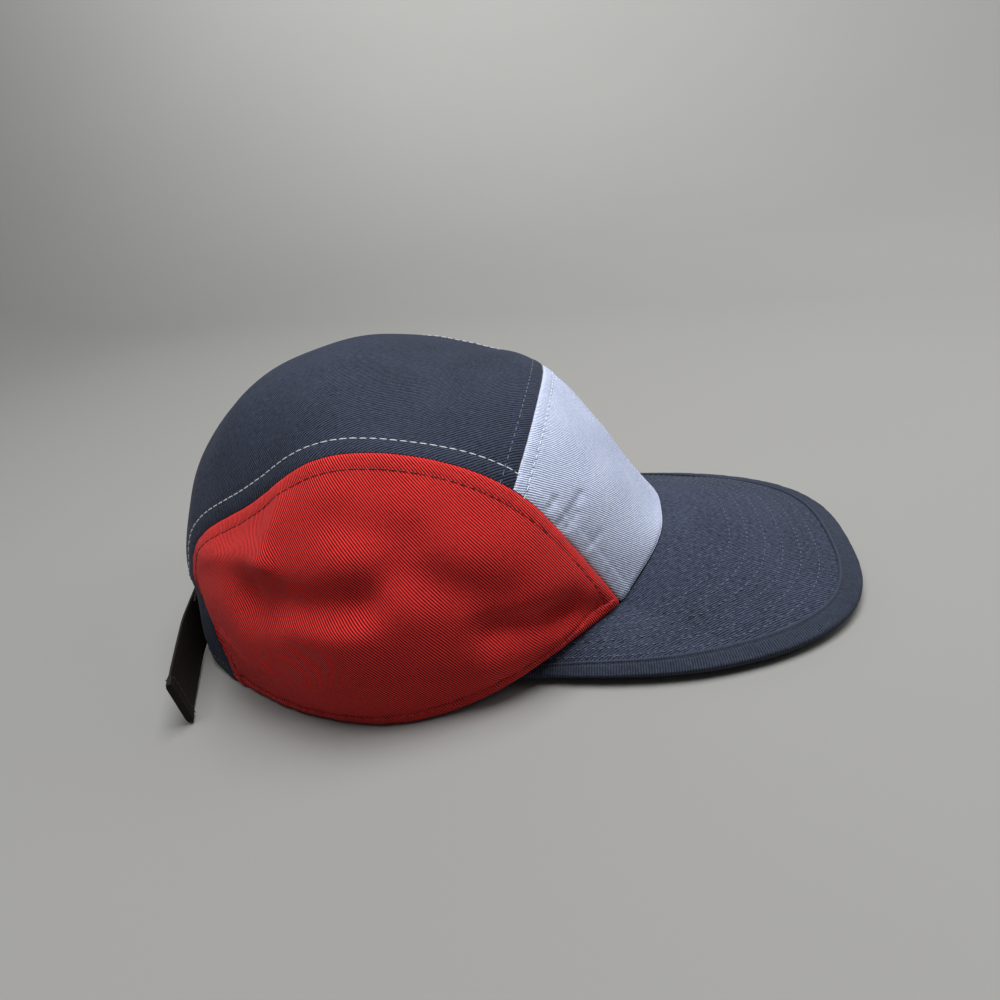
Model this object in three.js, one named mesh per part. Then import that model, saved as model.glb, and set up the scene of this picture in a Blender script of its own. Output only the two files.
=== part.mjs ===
import * as THREE from 'three';

// Cap at rest. Millimetres: +X to the front, +Y to the wearer's left, +Z up, Z = 0 the surface below it.
// The tables count X from the middle of the crown; the pieces then move to the middle of the whole length.
const middleX = 28.45;

// Cloth and gaps
const clothThickness = 1.6;
const pieceGap = 0.4;
const ribPower = 2.5;
const backRibPower = 4;
const backRibFrom = 5.5;

// Crown: one row for each section from the brim seam, over the top, to the back rim.
// spine is the middle of the centre strip, seam its edge, rim the lower edge of the side panel.
const crownColumns = ['spineX', 'spineZ', 'seamX', 'seamY', 'seamZ', 'rimX', 'rimY', 'rimZ', 'bulge'];
const crownRows = {
  brimSeam: [94.9, 28, 75.5, 44.5, 14.5, 75.5, 44.5, 14.5, 0],
  frontMiddle: [83.5, 43, 59.5, 51, 47.5, 59, 60, 12.5, 5],
  frontTop: [50.9, 88.2, 43.5, 56.5, 73.5, 40, 73, 7, 9.5],
  topFront: [13, 99, 15.5, 58.5, 89.5, 18, 82.5, 1.5, 13.5],
  crest: [-20.5, 109.5, -19, 61.5, 93.5, -7, 88.5, 0, 15.5],
  topBack: [-60, 104, -49.5, 56.5, 77, -31, 86, 0, 15],
  backUpper: [-88.5, 81.5, -77.6, 50.7, 62.5, -50, 80, 0, 10.5],
  backMiddle: [-104.1, 44.5, -89.4, 52.2, 39, -65.5, 72.5, 0, 4],
  backRim: [-105.4, 4, -78.4, 65.8, 0.5, -78.4, 65.8, 0, 0],
};
const frontSeamRow = 2;
const lastRow = 8;
const stepsPerRow = 5;
const tipTrim = 0.14;
const cornerLength = 14;

// Dents (negative) and swells of a side panel along a line seen from the side
const foldColumns = ['fromX', 'fromZ', 'toX', 'toZ', 'width', 'depth'];
const sideFolds = {
  upperRidge: [-76, 58, -37, 62, 6, 2.2],
  cornerDent: [-87, 34, -80, 18, 6, -3],
  cornerRidge: [-33, 82, -37, 62, 5, 2],
  backHollow: [-44, 47, -9, 49, 8, -4.5],
  lowerSwell: [-28, 41, -11, 39, 6, 1.2],
  topHollow: [-12, 74, 8, 67, 7, -1.8],
  middleHollow: [4, 57, 34, 42, 8, -2.6],
  frontDent: [30, 31, 53, 27, 6, -4],
  tipDent: [50, 27, 64, 20, 4.5, -2.2],
  frontHemSwell: [30, 15, 52, 14, 7, 1.6],
};
const leftFoldShare = 0.6;

// Brim and its binding
const brimTipX = 169.5;
const brimWideX = 32;
const brimHalfWidth = 75;
const brimEndTuck = 4.2;
const brimTuckFrom = 0.65;
const brimSquareness = 2.85;
const brimCoreThickness = 2.2;
const brimRootGap = 0.5;
const brimTipZ = 4;
const brimSideZ = 2.7;
const brimBow = 2.4;
const brimEndRow = 2.3;
const brimRootInset = 1.6;
const brimEndInset = 13;
const brimEndDrop = 1.2;
const bindingWidth = 9.4;
const bindingSideWidth = 13.2;
const bindingThickness = 0.7;
const bindingGap = 0.7;

// Strap round the back, its buckle and its hanging tail
const strapWidth = 20;
const strapThickness = 1.3;
const strapRow = 7.74;
const strapLift = 1.5;
const strapTurnRadius = 2.3;
const strapEnd = 0.66;
const strapTurnAt = 0.056;
const tailLeavesAt = 0.42;
const buckleBar = 2;
const buckleWindow = 9;
const buckleThickness = 2.2;
// The tail past the back corner; edge is the way from its lower to its upper edge, layers its thickness
const tailColumns = ['x', 'y', 'z', 'edgeX', 'edgeZ', 'layers'];
const tailRows = {
  clearOfCrown: [-103.5, -50, 11.6, -0.06, 1, 1],
  middle: [-98, -65, 11.1, -0.06, 1, 1],
  hemStart: [-91.9, -81, 10.6, -0.06, 1, 1],
  hemFold: [-91.4, -82, 10.6, -0.06, 1, 2],
  end: [-89.2, -87, 10.6, -0.06, 1, 2],
};

const colours = {
  navy: { color: 0x2c3140, roughness: 0.92 },
  brimNavy: { color: 0x31374a, roughness: 0.9 },
  red: { color: 0x8f1f20, roughness: 0.9 },
  lightBlue: { color: 0x93a3bd, roughness: 0.9 },
  binding: { color: 0x2e3444, roughness: 0.88 },
  webbing: { color: 0x191716, roughness: 0.8 },
  plastic: { color: 0x17171a, roughness: 0.5 },
};

// Natural cubic spline through the values at 0, 1, 2 and so on
function spline(values) {
  const last = values.length - 1;
  const bend = new Array(last + 1).fill(0);
  const ratio = new Array(last + 1).fill(0);
  for (let i = 1; i < last; i += 1) {
    const turn = 3 * (values[i + 1] - 2 * values[i] + values[i - 1]);
    const pivot = 4 - ratio[i - 1];
    ratio[i] = 1 / pivot;
    bend[i] = (turn - bend[i - 1]) / pivot;
  }
  for (let i = last - 1; i > 0; i -= 1) {
    bend[i] -= ratio[i] * bend[i + 1];
  }
  return (u) => {
    const i = Math.min(last - 1, Math.max(0, Math.floor(u)));
    const t = u - i;
    const slope = values[i + 1] - values[i] - (2 * bend[i] + bend[i + 1]) / 3;
    return values[i] + t * (slope + t * (bend[i] + t * (bend[i + 1] - bend[i]) / 3));
  };
}

const crown = {};
crownColumns.forEach((column, k) => {
  crown[column] = spline(Object.values(crownRows).map((row) => row[k]));
});

const vector = (x, y, z) => new THREE.Vector3(x, y, z);
const mix = THREE.MathUtils.lerp;

// Centre strip: u along it from the brim seam to the back rim, w across it from -1 to 1
function stripPoint(u, w) {
  const power = mix(ribPower, backRibPower, THREE.MathUtils.smoothstep(u, backRibFrom, lastRow));
  const share = Math.abs(w) ** power;
  const x = mix(crown.spineX(u), crown.seamX(u), share);
  const z = mix(crown.spineZ(u), crown.seamZ(u), share);
  return vector(x, w * crown.seamY(u), z);
}

function rimPoint(u, side) {
  return vector(crown.rimX(u), side * crown.rimY(u), Math.max(0, crown.rimZ(u)));
}

// Distance in the side view from a point to the line of a fold
function foldDistance(point, fold) {
  const runX = fold.toX - fold.fromX;
  const runZ = fold.toZ - fold.fromZ;
  const along = ((point.x - fold.fromX) * runX + (point.z - fold.fromZ) * runZ) / (runX * runX + runZ * runZ);
  const t = THREE.MathUtils.clamp(along, 0, 1);
  return Math.hypot(point.x - fold.fromX - t * runX, point.z - fold.fromZ - t * runZ);
}

// Rows of a table as objects with named values
function tableRows(columns, rows) {
  return Object.values(rows).map((row) => Object.fromEntries(columns.map((column, k) => [column, row[k]])));
}

const folds = tableRows(foldColumns, sideFolds);

// Side panel: u as on the strip, v from the seam at 0 to the rim at 1, side -1 right and 1 left
function sidePoint(u, v, side) {
  const seam = stripPoint(u, side);
  const rim = rimPoint(u, side);
  const point = seam.clone().lerp(rim, v);
  const along = stripPoint(u + 0.01, side).lerp(rimPoint(u + 0.01, side), v).sub(point);
  const outward = rim.clone().sub(seam).cross(along).normalize().multiplyScalar(side);
  const arch = 4 * v * (1 - v);
  let lift = crown.bulge(u) * arch;
  const share = side > 0 ? leftFoldShare : 1;
  for (const fold of folds) {
    const reach = foldDistance(point, fold) / fold.width;
    lift += share * fold.depth * Math.exp(-reach * reach) * Math.min(1, 2 * arch);
  }
  return point.addScaledVector(outward, lift);
}

// Unit normal of a surface, turned to face away from the inside of the crown
function surfaceNormal(pointAt, a, b) {
  const step = 0.002;
  const alongA = pointAt(a + step, b).sub(pointAt(a - step, b));
  const alongB = pointAt(a, b + step).sub(pointAt(a, b - step));
  const normal = alongA.cross(alongB).normalize();
  const away = pointAt(a, b).sub(vector(0, 0, 30));
  return normal.dot(away) < 0 ? normal.negate() : normal;
}

const stripNormal = (u, w) => surfaceNormal(stripPoint, u, w);
const sideNormal = (u, v, side) => surfaceNormal((a, b) => sidePoint(a, b, side), u, v);

// Shared direction of the two cloths that meet at a seam
function seamNormal(u, side) {
  return stripNormal(u, side * 0.98).add(sideNormal(u, 0.04, side)).normalize();
}

const level = (direction) => vector(direction.x, direction.y, 0).normalize();

// Faces turned outward, by the sign of the volume they enclose
function closedGeometry(positions, index) {
  const at = (k) => vector(positions[3 * k], positions[3 * k + 1], positions[3 * k + 2]);
  let volume = 0;
  for (let k = 0; k < index.length; k += 3) {
    volume += at(index[k]).dot(at(index[k + 1]).cross(at(index[k + 2])));
  }
  const geometry = new THREE.BufferGeometry();
  geometry.setAttribute('position', new THREE.Float32BufferAttribute(positions, 3));
  geometry.setIndex(volume < 0 ? index.reverse() : index);
  geometry.computeVertexNormals();
  return geometry;
}

// Closed sheet from a grid of points on one face and the matching grid on the other
function sheetGeometry(outer, inner) {
  const rows = outer.length;
  const columns = outer[0].length;
  const positions = [...outer.flat(), ...inner.flat()].flatMap((p) => [p.x, p.y, p.z]);
  const front = (i, j) => i * columns + j;
  const back = (i, j) => (rows + i) * columns + j;
  const index = [];
  const quad = (a, b, c, d) => index.push(a, b, c, a, c, d);
  for (let i = 0; i < rows - 1; i += 1) {
    for (let j = 0; j < columns - 1; j += 1) {
      quad(front(i, j), front(i + 1, j), front(i + 1, j + 1), front(i, j + 1));
      quad(back(i, j), back(i, j + 1), back(i + 1, j + 1), back(i + 1, j));
    }
    quad(front(i + 1, 0), front(i, 0), back(i, 0), back(i + 1, 0));
    quad(front(i, columns - 1), front(i + 1, columns - 1), back(i + 1, columns - 1), back(i, columns - 1));
  }
  for (let j = 0; j < columns - 1; j += 1) {
    quad(front(0, j), front(0, j + 1), back(0, j + 1), back(0, j));
    quad(front(rows - 1, j + 1), front(rows - 1, j), back(rows - 1, j), back(rows - 1, j + 1));
  }
  return closedGeometry(positions, index);
}

// Closed bar: the same profile placed at each step of a path
function barGeometry(profile, steps, place) {
  const sections = [];
  for (let i = 0; i <= steps; i += 1) {
    sections.push(profile.map((corner) => place(i / steps, corner.x, corner.y)));
  }
  const positions = sections.flat().flatMap((p) => [p.x, p.y, p.z]);
  const count = profile.length;
  const index = [];
  for (let i = 0; i < steps; i += 1) {
    for (let k = 0; k < count; k += 1) {
      const next = (k + 1) % count;
      const a = i * count + k;
      const b = i * count + next;
      index.push(a, b, b + count, a, b + count, a + count);
    }
  }
  const ends = THREE.ShapeUtils.triangulateShape(profile, []);
  for (const [a, b, c] of ends) {
    index.push(c, b, a);
    index.push(a + steps * count, b + steps * count, c + steps * count);
  }
  return closedGeometry(positions, index);
}

// Panel of the centre strip between two rows
function stripPanel(fromRow, toRow, columns) {
  const outer = [];
  const inner = [];
  for (let i = Math.floor(fromRow) * stepsPerRow; i <= Math.ceil(toRow) * stepsPerRow; i += 1) {
    const u = THREE.MathUtils.clamp(i / stepsPerRow, fromRow, toRow);
    const reach = 1 - 0.5 * pieceGap / crown.seamY(u);
    const line = [];
    const under = [];
    for (let j = 0; j <= columns; j += 1) {
      const w = mix(-reach, reach, j / columns);
      const atSeam = j === 0 || j === columns;
      const atRim = u === 0 || u === lastRow;
      const normal = atSeam ? seamNormal(u, Math.sign(w)) : stripNormal(u, w);
      const point = stripPoint(u, w);
      line.push(point);
      under.push(point.clone().addScaledVector(atRim ? level(normal) : normal, -clothThickness));
    }
    outer.push(line);
    inner.push(under);
  }
  return sheetGeometry(outer, inner);
}

function sidePanel(side, columns) {
  const outer = [];
  const inner = [];
  for (let i = 0; i <= lastRow * stepsPerRow; i += 1) {
    const u = THREE.MathUtils.clamp(i / stepsPerRow, tipTrim, lastRow - tipTrim);
    const rung = rimPoint(u, side).sub(stripPoint(u, side));
    const seamRun = stripPoint(u + 0.01, side).sub(stripPoint(u - 0.01, side)).normalize();
    const length = rung.length();
    const start = Math.min(0.4, 0.5 * pieceGap / rung.clone().cross(seamRun).length());
    const line = [];
    const under = [];
    for (let j = 0; j <= columns; j += 1) {
      const v = mix(start, 1, j / columns);
      const normal = j === 0 ? seamNormal(u, side) : sideNormal(u, Math.min(v, 0.97), side);
      const point = sidePoint(u, v, side);
      const flat = j === columns || (j > 0 && length < cornerLength);
      line.push(point);
      under.push(point.clone().addScaledVector(flat ? level(normal) : normal, -clothThickness));
    }
    outer.push(line);
    inner.push(under);
  }
  return sheetGeometry(outer, inner);
}

// Root of the brim below the front of the crown, t from -1 at the right end to 1 at the left end
function brimRoot(t) {
  const share = Math.abs(t) * 2;
  const side = Math.sign(t) || 1;
  const past = Math.max(0, share - 1);
  const edge = share <= 1 ? stripPoint(0, side * share) : rimPoint(past * brimEndRow, side);
  const inset = brimRootInset + brimEndInset * past ** 5;
  const drop = brimRootGap + 0.5 * brimCoreThickness + brimEndDrop * past ** 5;
  const inward = vector(20 - edge.x, -edge.y, 0).normalize();
  return edge.addScaledVector(inward, inset).sub(vector(0, 0, drop));
}

function brimEdge(t) {
  const angle = t * Math.PI / 2;
  const c = Math.cos(angle);
  const s = Math.sin(angle);
  const reach = (Math.abs(c) ** brimSquareness + Math.abs(s) ** brimSquareness) ** (-1 / brimSquareness);
  const x = brimWideX + (brimTipX - brimWideX) * reach * c;
  const tuck = brimEndTuck * THREE.MathUtils.smoothstep(Math.abs(t), brimTuckFrom, 1);
  const y = brimHalfWidth * reach * s - tuck * Math.sign(t);
  return vector(x, y, mix(brimTipZ, brimSideZ, Math.abs(s)));
}

// Middle surface of the brim, r from 0 at the root to 1 at the outer edge
function brimPoint(t, r) {
  const point = brimRoot(t).lerp(brimEdge(t), r);
  point.z += 4 * brimBow * r * (1 - r) * (1 - t * t);
  return point;
}

function brimNormal(t, r) {
  const normal = surfaceNormal(brimPoint, THREE.MathUtils.clamp(t, -0.99, 0.99), r);
  return normal.z < 0 ? normal.negate() : normal;
}

const brimLength = (t) => brimRoot(t).distanceTo(brimEdge(t));
const brimFold = bindingThickness + bindingGap;

function brimBoard(rows, columns) {
  const outer = [];
  const inner = [];
  for (let i = 0; i <= rows; i += 1) {
    const t = mix(-1, 1, i / rows);
    const end = 1 - brimFold / brimLength(t);
    const line = [];
    const under = [];
    for (let j = 0; j <= columns; j += 1) {
      const r = mix(0, end, j / columns);
      const normal = brimNormal(t, r);
      const middle = brimPoint(t, r);
      line.push(middle.clone().addScaledVector(normal, 0.5 * brimCoreThickness));
      under.push(middle.clone().addScaledVector(normal, -0.5 * brimCoreThickness));
    }
    outer.push(line);
    inner.push(under);
  }
  return sheetGeometry(outer, inner);
}

// Tape folded round the outer edge of the brim: profile across the edge as depth from it and height
function brimBinding(steps) {
  const inside = 0.5 * brimCoreThickness + bindingGap;
  const outside = inside + bindingThickness;
  const upper = [
    [bindingWidth, inside], [bindingWidth, outside], [5, outside], [1.2, outside], [0.3, 0.6 * outside],
  ];
  const widen = bindingSideWidth / bindingWidth - 1;
  const lower = upper.map(([depth, height]) => [depth, -height]).reverse();
  const fold = [[bindingThickness, -0.5], [bindingThickness, 0.5]];
  const inner = [[5, -inside], [brimFold, -inside], ...fold, [brimFold, inside], [5, inside]];
  const outline = [...upper, [0, 0], ...lower, ...inner];
  const profile = outline.map(([depth, height]) => new THREE.Vector2(depth, height));
  return barGeometry(profile, steps, (step, depth, height) => {
    const t = mix(-1, 1, step);
    const reach = Math.abs(t);
    const onSide = THREE.MathUtils.smoothstep(reach, 0.3, 0.6) - THREE.MathUtils.smoothstep(reach, 0.8, 0.95);
    const r = 1 - depth * (1 + widen * onSide * depth / bindingWidth) / brimLength(t);
    return brimPoint(t, r).addScaledVector(brimNormal(t, r), height);
  });
}

// Place on the strap: w across the back, lift off the crown, and how the webbing stands there
function strapPlace(w, lift) {
  const normal = stripNormal(strapRow, w);
  const edge = stripPoint(strapRow - 0.05, w).sub(stripPoint(strapRow + 0.05, w)).normalize();
  return { centre: stripPoint(strapRow, w).addScaledVector(normal, lift), edge, layers: 1 };
}

// One webbing loop from near the crown's back corner, round a bar of the buckle and back over itself
function strapLoop(side, returnTo, steps) {
  const places = [];
  const turnW = side * strapTurnAt;
  for (let i = 0; i <= steps; i += 1) {
    places.push(strapPlace(mix(side * strapEnd, turnW, i / steps), strapLift));
  }
  const middle = strapPlace(turnW, strapLift + strapTurnRadius);
  const outward = stripNormal(strapRow, turnW);
  for (let i = 1; i < 6; i += 1) {
    const angle = Math.PI * i / 6;
    const centre = middle.centre.clone().addScaledVector(outward, -strapTurnRadius * Math.cos(angle));
    centre.y -= side * strapTurnRadius * Math.sin(angle);
    places.push({ centre, edge: middle.edge, layers: 1 });
  }
  for (let i = 0; i <= steps; i += 1) {
    const settle = THREE.MathUtils.smoothstep(i / steps, 0, 1);
    const lift = strapLift + mix(2 * strapTurnRadius, strapThickness + pieceGap, settle);
    places.push(strapPlace(mix(turnW, side * returnTo, i / steps), lift));
  }
  return places;
}

// Smooth path of webbing through a list of places
function webbing(places, steps) {
  const centres = new THREE.CatmullRomCurve3(places.map((place) => place.centre), false, 'centripetal');
  const half = 0.5 * strapWidth;
  const corners = [[-half, -0.5], [half, -0.5], [half, 0.5], [-half, 0.5]];
  const profile = corners.map(([across, through]) => new THREE.Vector2(across, through));
  const last = places.length - 1;
  return barGeometry(profile, steps, (step, across, through) => {
    const k = Math.min(last - 1, Math.floor(step * last));
    const share = step * last - k;
    const edge = places[k].edge.clone().lerp(places[k + 1].edge, share);
    const thickness = strapThickness * mix(places[k].layers, places[k + 1].layers, share);
    const along = centres.getTangent(step);
    edge.addScaledVector(along, -edge.dot(along)).normalize();
    const face = along.clone().cross(edge).normalize();
    const point = centres.getPoint(step).addScaledVector(edge, across);
    return point.addScaledVector(face, through * thickness);
  });
}

function strapWithTail() {
  const places = strapLoop(-1, tailLeavesAt, 8);
  for (const { x, y, z, edgeX, edgeZ, layers } of tableRows(tailColumns, tailRows)) {
    places.push({ centre: vector(x, y, z), edge: vector(edgeX, 0, edgeZ).normalize(), layers });
  }
  return webbing(places, 2 * (places.length - 1));
}

function strapShort() {
  const places = strapLoop(1, 0.45, 6);
  return webbing(places, 2 * (places.length - 1));
}

// Plain flat ring that the two straps pass through
function buckleRing() {
  const outer = new THREE.Shape();
  const halfY = 0.5 * buckleWindow + buckleBar;
  const halfZ = 0.5 * strapWidth + 0.6 + buckleBar;
  outer.moveTo(-halfY, -halfZ);
  outer.lineTo(halfY, -halfZ);
  outer.lineTo(halfY, halfZ);
  outer.lineTo(-halfY, halfZ);
  outer.closePath();
  const window = new THREE.Path();
  const innerZ = halfZ - buckleBar;
  window.moveTo(-0.5 * buckleWindow, -innerZ);
  window.lineTo(-0.5 * buckleWindow, innerZ);
  window.lineTo(0.5 * buckleWindow, innerZ);
  window.lineTo(0.5 * buckleWindow, -innerZ);
  window.closePath();
  outer.holes.push(window);
  const ring = new THREE.ExtrudeGeometry(outer, { depth: buckleThickness, bevelEnabled: false, steps: 1 });
  ring.translate(0, 0, -0.5 * buckleThickness);
  const { centre, edge } = strapPlace(0, strapLift + strapTurnRadius);
  const outward = stripNormal(strapRow, 0);
  const across = edge.clone().cross(outward);
  ring.applyMatrix4(new THREE.Matrix4().makeBasis(across, edge, outward).setPosition(centre));
  return ring;
}

const cap = new THREE.Group();
cap.name = 'five_panel_cap';

function addPiece(name, geometry, colour) {
  geometry.translate(-middleX, 0, 0);
  const piece = new THREE.Mesh(geometry, new THREE.MeshStandardMaterial({ ...colour, metalness: 0 }));
  piece.name = name;
  cap.add(piece);
}

const seamStep = 0.5 * pieceGap / 37;
addPiece('front_panel', stripPanel(0, frontSeamRow - seamStep, 18), colours.lightBlue);
addPiece('top_panel', stripPanel(frontSeamRow + seamStep, lastRow, 18), colours.navy);
addPiece('side_panel_right', sidePanel(-1, 14), colours.red);
addPiece('side_panel_left', sidePanel(1, 14), colours.red);
addPiece('brim', brimBoard(40, 7), colours.brimNavy);
addPiece('brim_binding', brimBinding(40), colours.binding);
addPiece('strap', strapWithTail(), colours.webbing);
addPiece('strap_short', strapShort(), colours.webbing);
addPiece('strap_buckle', buckleRing(), colours.plastic);

export default cap;
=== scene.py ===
import bmesh
import bpy
import math
import numpy as np
from mathutils import Matrix, Vector, kdtree
from mathutils.bvhtree import BVHTree


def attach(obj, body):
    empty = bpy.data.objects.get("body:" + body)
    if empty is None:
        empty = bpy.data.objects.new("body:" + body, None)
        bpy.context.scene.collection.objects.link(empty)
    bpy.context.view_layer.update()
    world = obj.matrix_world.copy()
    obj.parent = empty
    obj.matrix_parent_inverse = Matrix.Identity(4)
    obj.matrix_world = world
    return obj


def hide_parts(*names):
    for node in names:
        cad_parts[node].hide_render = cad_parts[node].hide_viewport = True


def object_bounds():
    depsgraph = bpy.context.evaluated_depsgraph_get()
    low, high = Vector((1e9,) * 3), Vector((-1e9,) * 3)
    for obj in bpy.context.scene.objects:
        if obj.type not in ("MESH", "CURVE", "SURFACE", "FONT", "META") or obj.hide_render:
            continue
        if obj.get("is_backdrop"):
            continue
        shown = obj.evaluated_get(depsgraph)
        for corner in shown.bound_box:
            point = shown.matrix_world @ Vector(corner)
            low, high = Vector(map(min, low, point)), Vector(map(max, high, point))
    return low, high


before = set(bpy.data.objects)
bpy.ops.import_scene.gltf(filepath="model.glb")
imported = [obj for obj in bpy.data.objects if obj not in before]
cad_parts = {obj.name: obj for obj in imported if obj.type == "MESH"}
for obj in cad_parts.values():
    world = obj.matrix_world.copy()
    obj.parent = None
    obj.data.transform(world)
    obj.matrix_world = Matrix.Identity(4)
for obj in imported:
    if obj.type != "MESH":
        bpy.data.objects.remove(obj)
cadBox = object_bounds()
print("frame loaded, CAD box", [list(corner) for corner in cadBox])

# Sizes are in millimetres on the cap: x to the front, y to the wearer's left, z up
middleX = 28.45  # the tables count x from the middle of the crown
mm = 0.001


def toScene(points):  # millimetres on the cap to metres in the frame
    return (np.asarray(points, float) - np.array([middleX, 0.0, 0.0])) * mm


def unit(vectors):
    return vectors / np.maximum(np.linalg.norm(vectors, axis=-1, keepdims=True), 1e-9)


def smooth(low, high, value):
    t = np.clip((value - low) / (high - low), 0, 1)
    return t * t * (3 - 2 * t)


def hump(value, middle, width):
    return np.exp(-((value - middle) / width) ** 2)


def runLength(points):  # how far along a line each of its points lies
    return np.r_[0, np.cumsum(np.linalg.norm(np.diff(points, axis=0), axis=1))]


def resampled(places, steps, values):
    return np.stack([np.interp(places, steps, values[:, k]) for k in range(values.shape[1])], -1)


def surfaceNormal(pointAt, a, b, step=0.002):
    along = pointAt(a + step, b) - pointAt(a - step, b)
    across = pointAt(a, b + step) - pointAt(a, b - step)
    return unit(np.cross(along, across))


def linked(name, data):  # a new object in the scene
    item = bpy.data.objects.new(name, data)
    bpy.context.collection.objects.link(item)
    return item


# Camera and stage
cameraSetup = {"sensor": 36, "focalShare": 700 / 1000, "azimuth": 11.9, "elevation": 29.3, "roll": -10.3,
               "distance": 301.6, "target": (26.6, 0.0, 37.6)}
stageSetup = {"floorColour": (0.275, 0.274, 0.266), "floorRadius": 0.75, "curve": 1.3, "rise": 2.4,
              "turns": 96, "drop": 0.0004}
lightSetup = {
    "overhead": {"place": (0.18, 0.12, 1.25), "aim": (0.0, 0.0, 0.05), "size": 0.7, "power": 18.0},
    "leftFill": {"place": (-0.42, -0.2, 1.38), "aim": (0.0, 0.0, 0.05), "size": 0.5, "power": 6.0},
    "frontFill": {"place": (0.95, 0.25, 0.7), "aim": (0.0, 0.0, 0.05), "size": 0.6, "power": 3.0},
    "wallWash": {"place": (-0.2, 0.9, 1.5), "aim": (0.1, 2.0, 1.2), "size": 1.0, "power": 36.0},
}
worldLevel = 0.1


def aimCamera(setup):
    az, el, roll = (math.radians(setup[key]) for key in ("azimuth", "elevation", "roll"))
    back = Vector((math.sin(az) * math.cos(el), -math.cos(az) * math.cos(el), math.sin(el)))
    right = (-back).cross(Vector((0, 0, 1))).normalized()
    up = right.cross(-back)
    turnedRight = right * math.cos(roll) + up * math.sin(roll)
    turnedUp = up * math.cos(roll) - right * math.sin(roll)
    place = Vector(toScene(setup["target"])) + back * setup["distance"] * mm
    axes = Matrix((turnedRight, turnedUp, back)).transposed().to_4x4()
    data = bpy.data.cameras.new("camera")
    data.lens = setup["focalShare"] * setup["sensor"]
    data.sensor_width = setup["sensor"]
    data.sensor_fit = "HORIZONTAL"
    data.clip_start = 0.01
    camera = linked("camera", data)
    camera.matrix_world = Matrix.Translation(place) @ axes
    bpy.context.scene.camera = camera


def placeLight(name, setup):
    data = bpy.data.lights.new(name, "AREA")
    data.size = setup["size"]
    data.energy = setup["power"]
    light = linked(name, data)
    light.location = setup["place"]
    way = Vector(setup["aim"]) - Vector(setup["place"])
    light.rotation_euler = way.to_track_quat("-Z", "Y").to_euler()


aimCamera(cameraSetup)
for lightName, setup in lightSetup.items():
    placeLight(lightName, setup)
world = bpy.data.worlds.new("studio")
world.use_nodes = True
world.node_tree.nodes["Background"].inputs["Color"].default_value = (1, 1, 1, 1)
world.node_tree.nodes["Background"].inputs["Strength"].default_value = worldLevel
bpy.context.scene.world = world
bpy.context.scene.view_settings.view_transform = "Standard"
print("camera and lights placed")


class Wire:  # a node socket that works in Python sums
    def __init__(self, tree, socket=None):
        self.tree = tree
        self.socket = socket

    def make(self, kind, settings=None, sockets=None, output=0):
        node = self.tree.nodes.new(kind)
        for key, value in (settings or {}).items():
            setattr(node, key, value)
        known = {socket.identifier: socket for socket in node.inputs}
        for key, value in (sockets or {}).items():
            target = known[key] if key in known else node.inputs[key]
            for item in (value if isinstance(value, list) else [value]):
                if isinstance(item, Wire):
                    self.tree.links.new(item.socket, target)
                else:
                    target.default_value = item
        found = {socket.identifier: socket for socket in node.outputs}
        if not found:
            return Wire(self.tree)
        return Wire(self.tree, found[output] if output in found else node.outputs[output])

    def math(self, operation, first, second=0.0):
        return self.make("ShaderNodeMath", {"operation": operation}, {0: first, 1: second})

    def vector(self, operation, first, second=(0, 0, 0), output=0):
        return self.make("ShaderNodeVectorMath", {"operation": operation}, {0: first, 1: second}, output)

    def scaled(self, factor):
        return self.make("ShaderNodeVectorMath", {"operation": "SCALE"}, {0: self, "Scale": factor})

    def joined(self, *values):
        return self.make("ShaderNodeCombineXYZ", None, dict(enumerate(values)))

    def noise(self, place, scale, detail):
        return self.make("ShaderNodeTexNoise", None, {"Vector": place, "Scale": scale, "Detail": detail})

    def bump(self, strength, distance, height):
        sockets = {"Strength": strength, "Distance": distance, "Height": height}
        return self.make("ShaderNodeBump", None, sockets)

    def parts(self):
        split = self.make("ShaderNodeSeparateXYZ", None, {0: self})
        outputs = split.socket.node.outputs
        return [Wire(self.tree, outputs[k]) for k in range(3)]


operators = {"add": "ADD", "sub": "SUBTRACT", "mul": "MULTIPLY", "truediv": "DIVIDE", "pow": "POWER"}
for symbol, operation in operators.items():  # each with its reflected form
    setattr(Wire, f"__{symbol}__", lambda self, other, kind=operation: self.math(kind, self, other))
    setattr(Wire, f"__r{symbol}__", lambda self, other, kind=operation: self.math(kind, other, self))


def newMaterial(name):
    material = bpy.data.materials.new(name)
    material.use_nodes = True
    material.node_tree.nodes.clear()
    return material, Wire(material.node_tree)


def finishMaterial(kit, surface, constants):
    shader = kit.make("ShaderNodeBsdfPrincipled", None, {**surface, **constants})
    kit.make("ShaderNodeOutputMaterial", None, {"Surface": shader})


def blendColour(kit, low, high, factor):
    sockets = {"Factor_Float": factor, "A_Color": low, "B_Color": high}
    return kit.make("ShaderNodeMix", {"data_type": "RGBA"}, sockets, "Result_Color")


def rgb(red, green, blue):  # screen colour 0 to 255 as linear light
    def linear(value):
        share = value / 255
        return share / 12.92 if share <= 0.04045 else ((share + 0.055) / 1.055) ** 2.4
    return (linear(red), linear(green), linear(blue), 1.0)


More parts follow.
